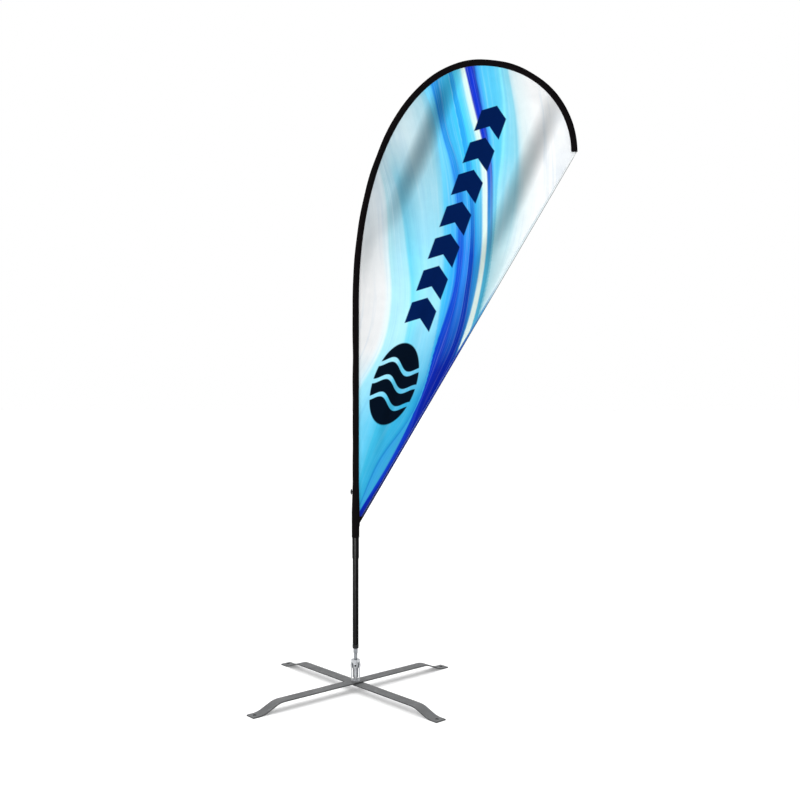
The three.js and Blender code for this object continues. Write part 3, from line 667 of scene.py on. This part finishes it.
LOW = [
    (0.0, "a5dcec"), (0.9, "92dcf4"), (1.1, "80d6f2"), (1.9, "60c6ea"), (2.1, "3eb4da"),
    (2.9, "2ea2d0"), (3.04, "1c7cc0"), (3.15, "3299d4"), (3.9, "379fcc"), (4.08, "0d3cc0"),
    (4.9, "0624a4"), (5.5, "041e96"), (13.0, "031880"),
]
STRIPE_COUNT = len(STRIPE_EDGES) + 1
FOLD_PAINTED_SHADE = 0.8  # strength of the painted shade on the folds' turned-away sides
WEAVE = 210  # texture scale of the weave, for the white and the printed cloth
SLEEVE_WEAVE = 160

# Heights above the ground at which the print's colours change, and at which a painted highlight and a
# painted shade on its left side begin and end
ALL_HIGH = 1.80
ALL_MIDDLE = 1.46
HIGHLIGHT_FROM = 1.72
HIGHLIGHT_FULL = 1.86
SHADE_FROM = 1.35
SHADE_FULL = 1.60
LOW_BLEND = 0.32  # height over which halfway's colours turn into the lower ones
HEM_COLORS_FROM = 0.55
HEM_COLORS_TO = 1.80

# Row of arrowheads, and the round badge under it, as (across, up) in the flag's own axes
ARROWS_FROM = (0.210, 1.232)
ARROWS_TO = (0.483, 1.985)
ARROWS_HALF_WIDTH = 0.044
ARROW_COUNT = 7
ARROW_SLANT = 0.75
ARROW_GAP = 0.020
BADGE = (0.130, 1.030)
BADGE_HALF = (0.072, 0.145)
BADGE_LEAN = 20  # degrees
WAVE_PITCH = 0.062
WAVE_HEIGHT = 0.016
WAVE_GAP = 0.008  # half its width
WAVE_RATE = 62.0  # radians per metre
NAVY = "001a4e"


def turned_place(n, origin, lean):
    """Distances from an origin in the flag's plane: along a line that leans, and across it."""
    split = n.add("ShaderNodeSeparateXYZ")
    n.feed(split.inputs[0], n.place)
    x = n.math("SUBTRACT", split.outputs[0], POLE + origin[0])
    z = n.math("SUBTRACT", split.outputs[2], GROUND + origin[1])
    sine = math.sin(lean)
    cosine = math.cos(lean)
    along = n.math("ADD", n.math("MULTIPLY", x, sine), n.math("MULTIPLY", z, cosine))
    side = n.math("SUBTRACT", n.math("MULTIPLY", x, cosine), n.math("MULTIPLY", z, sine))
    return along, side


def within(n, value, low, high, soft=0.0015):
    """1 where a value lies between two limits, with a soft edge."""
    above = n.spread(value, low - soft, low + soft)
    below = n.spread(value, high - soft, high + soft, 1.0, 0.0)
    return n.math("MULTIPLY", above, below)


def arrow_row(n):
    """A row of plain arrowheads along the leaning line."""
    reach = np.array(ARROWS_TO) - np.array(ARROWS_FROM)
    length = float(np.hypot(*reach))
    lean = math.atan2(reach[0], reach[1])
    along, side = turned_place(n, ARROWS_FROM, lean)
    pitch = length / ARROW_COUNT
    bent = n.math("ADD", along, n.math("MULTIPLY", n.math("ABSOLUTE", side), ARROW_SLANT))
    step = n.math("MULTIPLY", n.math("FRACT", n.math("DIVIDE", bent, pitch)), pitch)
    stroke = within(n, step, ARROW_GAP, pitch - ARROW_GAP)
    row = within(n, bent, 0.0, length)
    sides = within(n, side, -ARROWS_HALF_WIDTH, ARROWS_HALF_WIDTH)
    return n.math("MULTIPLY", n.math("MULTIPLY", stroke, row), sides)


def badge(n):
    """An oval badge crossed by three waves."""
    along, side = turned_place(n, BADGE, math.radians(BADGE_LEAN))
    a = n.math("DIVIDE", along, BADGE_HALF[1])
    b = n.math("DIVIDE", side, BADGE_HALF[0])
    from_middle = n.math("SQRT", n.math("ADD", n.math("MULTIPLY", a, a), n.math("MULTIPLY", b, b)))
    oval = n.spread(from_middle, 0.985, 1.015, 1.0, 0.0)
    ripple = n.math("MULTIPLY", n.math("SINE", n.math("MULTIPLY", side, WAVE_RATE)), WAVE_HEIGHT)
    level = n.math("ADD", along, ripple)
    gaps = 0.0
    for middle in (-WAVE_PITCH, 0.0, WAVE_PITCH):
        gaps = n.math("ADD", gaps, within(n, level, middle - WAVE_GAP, middle + WAVE_GAP))
    return n.math("MULTIPLY", oval, n.math("SUBTRACT", 1.0, gaps, clamp=True))


def stripe_colors(n, number, height):
    """Colours of the stripes, with a painted highlight and a painted shade on the left side high up, and
    deep blue low down.
    """
    share = n.math("DIVIDE", number, STRIPE_COUNT)
    high, middle, low = (
        n.ramp(share, [(place / STRIPE_COUNT, srgb(code)) for place, code in stops])
        for stops in (HIGH, MIDDLE, LOW)
    )
    color = n.mix(n.spread(height, ALL_HIGH, ALL_MIDDLE), high, middle)
    # Painted highlight: the left stripes are lightened near the top.
    painted_highlight_side = n.spread(number, 2.4, 3.0, 1.0, 0.0)
    painted_highlight = n.math("MULTIPLY", n.spread(height, HIGHLIGHT_FROM, HIGHLIGHT_FULL, 0.0, 0.6), painted_highlight_side)
    color = n.mix(painted_highlight, color, srgb("e6f1f3"))
    # Painted shade: the left stripes are darkened from partway up.
    painted_shade_side = n.spread(number, 1.6, 3.2, 1.0, 0.0)
    painted_shade = n.math("MULTIPLY", painted_shade_side, n.spread(height, SHADE_FROM, SHADE_FULL))
    color = n.mix(painted_shade, color, srgb("dde3e6"), "MULTIPLY")
    # The height at which the low colours start rises from stripe 1 to 4 and falls again from 7.6 to 8.1.
    start = n.spread(number, 1.0, 4.1, 1.15, 1.40)
    start = n.math("SUBTRACT", start, n.spread(number, 7.6, 8.1, 0.0, 0.25))
    return n.mix(n.spread(n.math("SUBTRACT", start, height), 0.0, LOW_BLEND), color, low)


def streaked(n, color, number, height):
    """The colour with fine streaks along the stripes: deeper ones, and lighter ones of painted highlight
    that grow stronger higher up.
    """
    line = n.add("ShaderNodeCombineXYZ")
    n.feed(line.inputs[0], n.math("MULTIPLY", number, 3.2))
    n.feed(line.inputs[1], n.math("MULTIPLY", n.math("ADD", height, GROUND), 0.9))
    streak = n.noise(1.6, 4, 0.7, line.outputs[0])
    # Painted highlight: near-white streaks, stronger higher up.
    painted_glint = n.math("MULTIPLY", n.spread(streak, 0.52, 0.75), n.spread(height, 0.9, 1.7, 0.05, 0.22))
    color = n.mix(painted_glint, color, srgb("f2fbff"))
    return n.mix(n.spread(streak, 0.48, 0.28, 0.0, 0.18), color, srgb("2f9fd8"), "MULTIPLY")


def printed_pattern(n):
    """Sweeps of blue on white, which deepen towards the lower corner, with navy shapes over them."""
    number = n.add("ShaderNodeAttribute", attribute_name="stripe").outputs["Fac"]
    split = n.add("ShaderNodeSeparateXYZ")
    n.feed(split.inputs[0], n.place)
    height = n.math("SUBTRACT", split.outputs[2], GROUND)
    color = streaked(n, stripe_colors(n, number, height), number, height)
    color = n.mix(arrow_row(n), color, srgb(NAVY))
    return n.mix(badge(n), color, srgb("020d1c"))


def printed_cloth():
    """Printed polyester: the pattern, with painted shade on the folds' turned-away sides, with threads and
    creases.
    """
    n = Nodes("printed_cloth", 0.75)
    color = printed_pattern(n)
    tone = n.noise(26, 4, 0.6)
    color = n.mix(n.spread(tone, 0.3, 0.7, 0.0, 0.08), color, srgb("8fa3ad"), "MULTIPLY")
    # Painted shade: the cloth is darkened where its folds turn away to the right, by the slope stored with
    # it.
    painted_fold_shade = n.add("ShaderNodeAttribute", attribute_name="painted_fold_shade").outputs["Fac"]
    color = n.mix(n.spread(painted_fold_shade, 0.04, 0.62, 0.0, FOLD_PAINTED_SHADE), color, srgb("70777a"), "MULTIPLY")
    knit = weave(n, WEAVE)
    color = n.mix(n.math("MULTIPLY", knit, 0.06), color, (0.0, 0.0, 0.0))
    n.shader.inputs["Specular IOR Level"].default_value = 0.02
    creases = n.bump(n.noise(9, 4, 0.55, n.stretched(1.6, 1.0, 0.6)), 0.004, 0.35)
    rough = n.spread(tone, 0.3, 0.7, 0.68, 0.82)
    return n.finish(color, rough, n.bump(knit, 0.00012, 0.3, creases))


def white_cloth():
    """White polyester cloth."""
    n = Nodes("white_cloth", 0.8)
    knit = weave(n, WEAVE)
    color = n.mix(n.spread(n.noise(40, 4), 0.3, 0.7), srgb("dfe2e5"), srgb("f2f3f4"))
    color = n.mix(n.math("MULTIPLY", knit, 0.08), color, srgb("9aa0a6"))
    return n.finish(color, 0.8, n.bump(knit, 0.00015, 0.4))


def hem_cloth():
    """The free edge's folded band: navy low down, white above, with a dark overlocked edge."""
    n = Nodes("hem_cloth", 0.85)
    n.shader.inputs["Specular IOR Level"].default_value = 0.02
    split = n.add("ShaderNodeSeparateXYZ")
    n.feed(split.inputs[0], n.place)
    height = n.spread(split.outputs[2], GROUND + HEM_COLORS_FROM, GROUND + HEM_COLORS_TO)
    color = n.ramp(height, [(0.0, srgb("0a1020")), (0.12, srgb("0a1c70")), (0.46, srgb("1636a4")),
                            (0.58, srgb("4a9ccc")), (0.66, srgb("d9eaee")), (1.0, srgb("eef1f2"))])
    edge = n.add("ShaderNodeAttribute", attribute_name="edge").outputs["Fac"]
    color = n.mix(n.spread(edge, 0.16, 0.34, 0.75, 0.0), color, srgb("2b2d31"))
    rib = n.noise(160, 3, 0.6, n.stretched(1.0, 1.0, 3.0))
    color = n.mix(n.spread(rib, 0.35, 0.7, 0.0, 0.12), color, srgb("2b2d31"))
    return n.finish(color, n.spread(rib, 0.3, 0.7, 0.78, 0.92), n.bump(rib, 0.0004, 0.5))


def thread(name, dark, light):
    """Twisted polyester thread."""
    n = Nodes(name, 0.6)
    twist = n.noise(1600, 2, 0.5)
    n.shader.inputs["Sheen Weight"].default_value = 0.2
    return n.finish(n.mix(twist, srgb(dark), srgb(light)), 0.6, n.bump(twist, 0.0001, 0.5))


def floor_paint():
    """Pale studio floor, lit a little from within so that it meets the walls without a line."""
    n = Nodes("floor", 0.9)
    n.shader.inputs["Specular IOR Level"].default_value = 0.0
    n.shader.inputs["Emission Color"].default_value = (1.0, 1.0, 1.0, 1.0)
    n.shader.inputs["Emission Strength"].default_value = FLOOR_GLOW
    return n.finish(n.mix(n.noise(3, 2), srgb("f0f0f0"), srgb("f5f5f5")), 0.9)


# ---------- Cloth pieces ----------
def make_panel(material):
    """The printed cloth beside the sleeve."""
    places = cloth_place(PANEL_ROWS, PANEL_COLUMNS)
    faces = grid_faces(PANEL_ROWS, PANEL_COLUMNS)
    panel = new_object("flag_cloth", to_row_frame(places), faces, material)
    flat = places.reshape(-1, 3)
    store(panel, "stripe", stripe_number(flat[:, 0], flat[:, 1]))
    # The folds' slope, which sets the painted shade in the cloth's colour.
    store(panel, "painted_fold_shade", fold_slope(flat[:, 0], flat[:, 1]))
    thicken(panel, PANEL_CLOTH)
    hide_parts("flag_panel")
    return panel


def band(name, line, width, thickness, material, columns=7, node=None):
    """A folded band along a line: its two layers part a little in the middle and meet at the edges."""
    rows = len(line)
    along = np.gradient(line[:, :2], axis=0)
    along /= np.linalg.norm(along, axis=1)[:, None]
    inward = np.stack([-along[:, 1], along[:, 0]], 1)
    round_it = np.concatenate([np.linspace(0, 1, columns), np.linspace(1, 0, columns)[1:-1]])
    side = np.concatenate([np.ones(columns), -np.ones(columns - 2)])
    height = thickness / 2 * np.sqrt(np.clip(1 - (2 * round_it - 1) ** 4, 0, 1)) * side
    across = line[:, None, 0] + inward[:, None, 0] * round_it * width
    up = line[:, None, 1] + inward[:, None, 1] * round_it * width
    out = line[:, None, 2] + height[None, :]
    count = len(round_it)
    faces = grid_faces(rows, count, closed=True)
    faces += [tuple(reversed(range(count))), tuple(range((rows - 1) * count, rows * count))]
    piece = new_object(name, to_row_frame(np.stack([across, up, out], -1)), faces, material)
    store(piece, "edge", np.tile(round_it, rows))
    if node:
        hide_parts(node)
    return piece


def leech_line(rows=260, low=0.0, high=1.0):
    """The free edge, as (across, up, out), with the cloth's own folds."""
    share = np.linspace(low, high, rows)
    edge = leech_point(share)
    folds = cloth_place(rows, 40, low, high)[:, -1, 2]
    return np.column_stack([edge, folds])


def make_hem(material):
    """The folded band along the free edge, a little past the cloth's tip."""
    past_tip = (TIP[0] - 0.002 - TACK[0]) / (TIP_LINE - TACK[0])
    hem = band("flag_hem", leech_line(high=past_tip), HEM, HEM_CLOTH, material, node="leech_hem")
    return hem


def stitches(name, line, material, lift):
    """A row of stitches along a line of (across, up, out), on both faces of the cloth."""
    step = np.linalg.norm(np.diff(line[:, :2], axis=0), axis=1)
    run = np.concatenate([[0], np.cumsum(step)])
    count = int(run[-1] / STITCH_PITCH)
    vertices = []
    faces = []
    # Each stitch has four rings: a narrow one sunk in the cloth at each end, and two full ones over it.
    ring = [(math.cos(a), math.sin(a)) for a in np.radians([0, 60, 120, 180, 240, 300])]
    sides = len(ring)
    for k in range(count):
        middle = (k + 0.5) * STITCH_PITCH
        ends = [np.array([np.interp(middle + s * STITCH_LENGTH / 2, run, line[:, i]) for i in range(3)])
                for s in (-1, -0.4, 0.4, 1)]
        along = ends[-1][:2] - ends[0][:2]
        along = along / np.linalg.norm(along)
        for face in (-1, 1):
            first = len(vertices)
            for place, size, rise in zip(ends, (0.45, 1.0, 1.0, 0.45), (-0.6, 0.3, 0.3, -0.6)):
                for c, s in ring:
                    shift = c * THREAD * size
                    out = place[2] + face * (lift + (rise + s * size) * THREAD)
                    vertices.append((place[0] - along[1] * shift, place[1] + along[0] * shift, out))
            for r in range(3):
                for c in range(sides):
                    a = first + r * sides + c
                    b = first + r * sides + (c + 1) % sides
                    faces.append((a, b, b + sides, a + sides))
            faces.append(tuple(first + c for c in reversed(range(sides))))
            faces.append(tuple(first + 3 * sides + c for c in range(sides)))
    return new_object(name, to_row_frame(vertices), faces, material)


def make_sleeve(material):
    """The sleeve: round over the pole and rod, drawn in to a flat seam beside the cloth."""
    length = np.linspace(0, TOTAL, SLEEVE_ROWS)
    point, inward = line_at(length)
    half = sleeve_half_width(length)
    # Its depth falls from the pole's to the thin rod's round the start of the bend.
    over_rod = smooth_step(length, BEND_START - 0.06, BEND_START + 0.25)
    depth = half + (ROD_TOP_RADIUS + ROD_SLACK - half) * over_rod
    angle = np.linspace(0, 2 * math.pi, SLEEVE_SIDES, endpoint=False)
    toward = np.cos(angle)  # 1 at the seam
    # It is pinched flat towards the seam, more so over the rod.
    seam = np.clip((toward - 0.1) / 0.9, 0, 1)
    pinch = 1 - seam[None, :] ** 1.5 * (0.25 + 0.6 * over_rod[:, None])
    rng = np.random.default_rng(4)
    phases = rng.uniform(0, 2 * math.pi, 6)
    ripple = sum(
        np.sin(length[:, None] * k * 9.1 + angle[None, :] * (1 + k % 3) + phases[k]) for k in range(1, 6)
    ) * SLEEVE_RIPPLE
    loose = np.clip(length / 0.05, 0.2, 1)[:, None]
    reach = half[:, None] * toward[None, :] + ripple * loose * (toward < 0.7)
    across = point[:, None, 0] + inward[:, None, 0] * reach
    up = point[:, None, 1] + inward[:, None, 1] * reach
    out = depth[:, None] * np.sin(angle)[None, :] * pinch + ripple * loose
    places = np.stack([across, up, out], -1)
    faces = grid_faces(SLEEVE_ROWS, SLEEVE_SIDES, closed=True)
    sleeve = new_object("sleeve_cloth", to_row_frame(places), faces, material)
    thicken(sleeve, SLEEVE_CLOTH, -1.0)
    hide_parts("pole_sleeve")
    return sleeve


def seam_line(inset, rows=620):
    """A line that runs beside the sleeve's inner edge."""
    length = np.linspace(TACK_RISE + 0.006, TOTAL - 0.006, rows)
    point, inward = line_at(length)
    place = point + inward * (sleeve_half_width(length) - inset)[:, None]
    return np.column_stack([place, np.zeros(rows)])


def make_seam_tape(material):
    """The flat tape that joins the cloth to the sleeve."""
    length = np.linspace(TACK_RISE - 0.004, TOTAL - 0.002, SLEEVE_ROWS)
    point, inward = line_at(length)
    place = point + inward * (sleeve_half_width(length) + 0.0016)[:, None]
    line = np.column_stack([place, np.zeros(SLEEVE_ROWS)])
    tape = band("seam_tape", line, TAPE, TAPE_CLOTH, material, columns=5)
    return tape


def make_tack_patch(material):
    """The triangle of webbing that takes the pull at the lower corner."""
    share = np.linspace(0, 1, 9)
    bottom = TACK + np.array([-0.006, -0.001])
    luff_top = TACK + np.array([-0.001, TACK_PATCH_RISE])
    leech_top = leech_point(np.array([TACK_PATCH_REACH / (TIP_LINE - TACK[0])]))[0]
    luff = bottom + (luff_top - bottom) * share[:, None]
    edge = bottom + (leech_top - bottom) * share[:, None]
    part = np.linspace(0, 1, 9)[None, :, None]
    flat = luff[:, None, :] * (1 - part) + edge[:, None, :] * part
    grid = np.concatenate([flat, np.zeros(flat.shape[:2] + (1,))], -1)
    patch = new_object("tack_webbing", to_row_frame(grid), grid_faces(9, 9), material)
    thicken(patch, TACK_WEBBING)
    bevel = patch.modifiers.new("soft_edge", "BEVEL")
    bevel.width = 0.0006
    bevel.segments = 2
    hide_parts("tack_patch")
    return patch


def make_tip_patch(material):
    """The white corner that closes the cloth under the sleeve's end."""
    columns = 14
    rows = 12
    left = TIP_LINE - 0.004
    across = np.linspace(left, TIP[0] - 0.001, columns)
    slope = (TIP[1] - TACK[1]) / (TIP[0] - TACK[0])
    low = TACK[1] + (across - TACK[0]) * slope
    top = np.full(columns, LINE[-1, 1] - 0.0004)
    part = np.linspace(0, 1, rows)[:, None]
    up = low[None, :] * (1 - part) + np.maximum(top, low + 0.001)[None, :] * part
    out = TIP_PATCH_RIPPLE * np.sin((across[None, :] - left) * 240) * (1 - part)
    places = np.stack([np.broadcast_to(across, up.shape), up, out], -1)
    patch = new_object("tip_corner", to_row_frame(places), grid_faces(rows, columns), material)
    thicken(patch, TIP_PATCH_CLOTH)
    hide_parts("tip_patch")
    return patch


# ---------- Carried-over pieces ----------
def soften(node, width):
    """Joins the piece's split edges, rounds its sharp ones a little, and shades its curves smoothly."""
    piece = NODES[node]
    mesh = piece.data
    mesh.polygons.foreach_set("use_smooth", [True] * len(mesh.polygons))
    weld = piece.modifiers.new("weld", "WELD")
    weld.merge_threshold = 0.00002
    bevel = piece.modifiers.new("soft_edges", "BEVEL")
    bevel.width = width
    bevel.segments = 2
    bevel.limit_method = "ANGLE"
    bevel.angle_limit = math.radians(38)
    normals = piece.modifiers.new("flat_faces", "WEIGHTED_NORMAL")
    normals.weight = 100


def dress_cad_pieces():
    """Gives each solid that stays in sight its rounded edges and its finish."""
    finishes = {
        "powder_grey": powder_coat(),
        "zinc_plate": zinc(),
        "bright_steel": steel(),
        "black_tube": black_tube(),
        "black_plastic": moulded("black_plastic", srgb("101012"), srgb("1d1d20"), 0.45),
        "nylon": moulded("nylon", srgb("d2d0c6"), srgb("e6e4dc"), 0.5),
        "fibreglass_rod": fibreglass(),
        "sleeve_black": moulded("eyelet_black", srgb("141416"), srgb("242428"), 0.4),
    }
    for part in frame["record"]["subparts"]:
        node = part["node"]
        slot = part["material_slot"]
        if slot not in finishes or NODES[node].hide_render:
            continue
        soften(node, CAD_EDGES.get(slot, OTHER_EDGES))
        NODES[node].data.materials.clear()
        NODES[node].data.materials.append(finishes[slot])


def make_floor():
    """A floor that reaches past all that the camera sees."""
    steps = np.linspace(-FLOOR_SIZE, FLOOR_SIZE, 3)
    vertices = [(x, y, GROUND) for y in steps for x in steps]
    floor = new_object("floor", vertices, grid_faces(3, 3), floor_paint(), body=None)


# ---------- Scene ----------
def build_flag():
    """All cloth pieces."""
    sleeve_black = sleeve_cloth()
    white = white_cloth()
    sleeve = make_sleeve(sleeve_black)
    tape = make_seam_tape(sleeve_black)
    panel = make_panel(printed_cloth())
    hem = make_hem(hem_cloth())
    tack = make_tack_patch(sleeve_black)
    tip = make_tip_patch(white)
    black_thread = thread("black_thread", "17171a", "34343a")
    grey_thread = thread("grey_thread", "75808f", "9aa4b0")
    seam = stitches("seam_stitching", seam_line(-0.0005), black_thread, 0.0013)
    hem_line = leech_line(rows=500, low=0.02, high=0.985)
    along = (TIP - TACK) / np.linalg.norm(TIP - TACK)
    hem_line[:, :2] += np.array([-along[1], along[0]]) * (HEM - HEM_STITCH_INSET)
    edge = stitches("hem_stitching", hem_line, grey_thread, 0.0011)


make_camera()
make_studio()
build_flag()
dress_cad_pieces()
make_floor()
